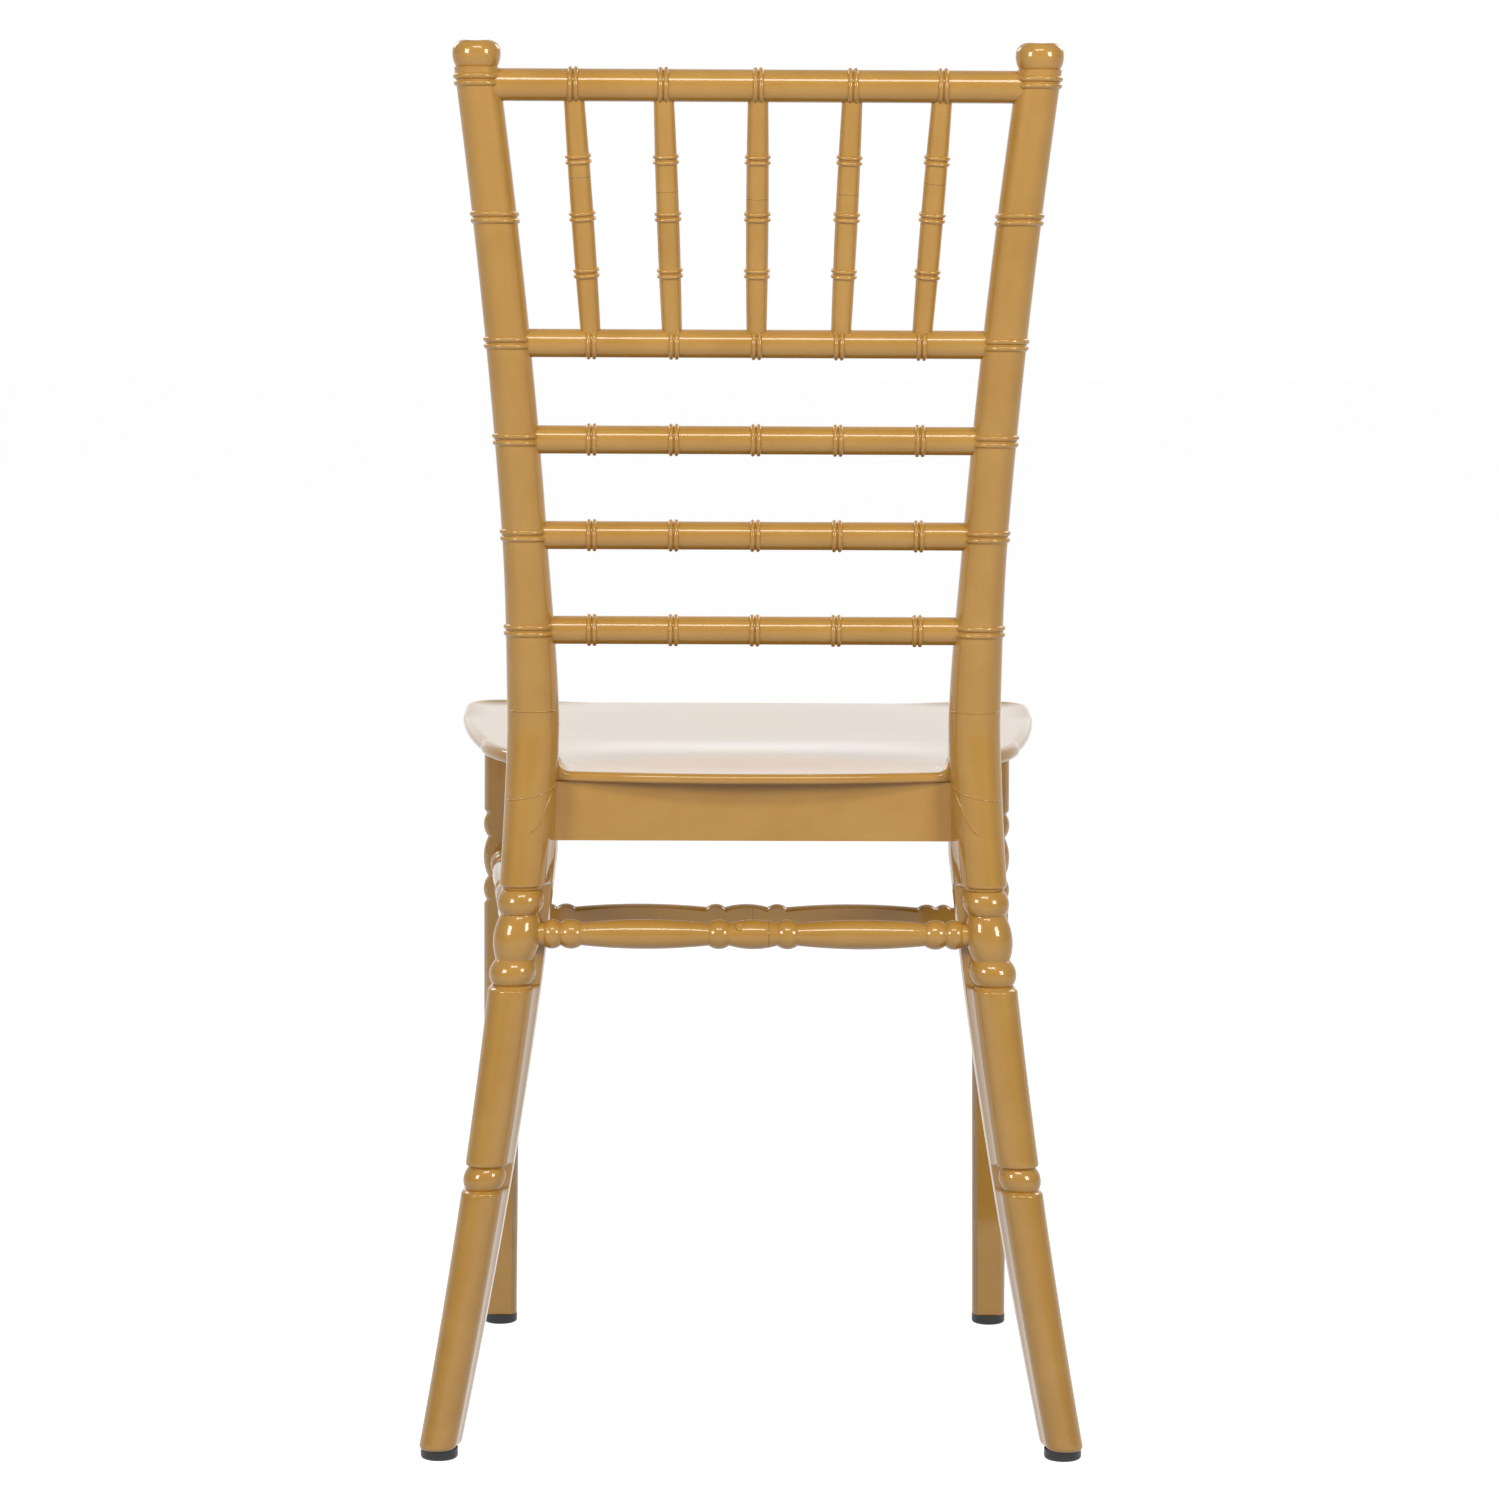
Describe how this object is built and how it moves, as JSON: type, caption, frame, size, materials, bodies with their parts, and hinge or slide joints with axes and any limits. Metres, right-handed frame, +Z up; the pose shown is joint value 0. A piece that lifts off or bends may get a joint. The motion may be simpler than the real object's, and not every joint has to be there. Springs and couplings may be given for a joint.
{
  "type": "resin banquet chair",
  "caption": "Armless banquet chair in glossy gold resin, with turned legs and stretchers, a ladder back under a row of spindles, button finials and a gently dished seat.",
  "frame": {"origin": "on the floor, under the middle of the whole chair's box", "axes": "+X to the sitter's left, +Y to the rear, +Z up"},
  "size_m": [0.4362, 0.4489, 0.9201],
  "materials": {
    "gold_resin": "glossy moulded resin with gold pigment",
    "foot_plastic": "satin black",
    "screw_steel": "zinc plated"
  },
  "bodies": {
    "root": {"rear_post_left": "gold_resin", "rear_post_right": "gold_resin", "finial_left": "gold_resin", "finial_right": "gold_resin", "crest_rail": "gold_resin", "spindle_rail": "gold_resin", "ladder_rail_1": "gold_resin", "ladder_rail_2": "gold_resin", "ladder_rail_3": "gold_resin", "spindle_1": "gold_resin", "spindle_2": "gold_resin", "spindle_3": "gold_resin", "spindle_4": "gold_resin", "spindle_5": "gold_resin", "seat": "gold_resin", "rear_apron": "gold_resin", "front_apron": "gold_resin", "side_apron_left": "gold_resin", "side_apron_right": "gold_resin", "front_leg_left": "gold_resin", "front_leg_right": "gold_resin", "rear_stretcher": "gold_resin", "front_stretcher": "gold_resin", "side_stretcher_left": "gold_resin", "side_stretcher_right": "gold_resin", "foot_rear_left": "foot_plastic", "foot_rear_right": "foot_plastic", "foot_front_left": "foot_plastic", "foot_front_right": "foot_plastic", "seat_screws": "screw_steel"}
  },
  "joints": []
}
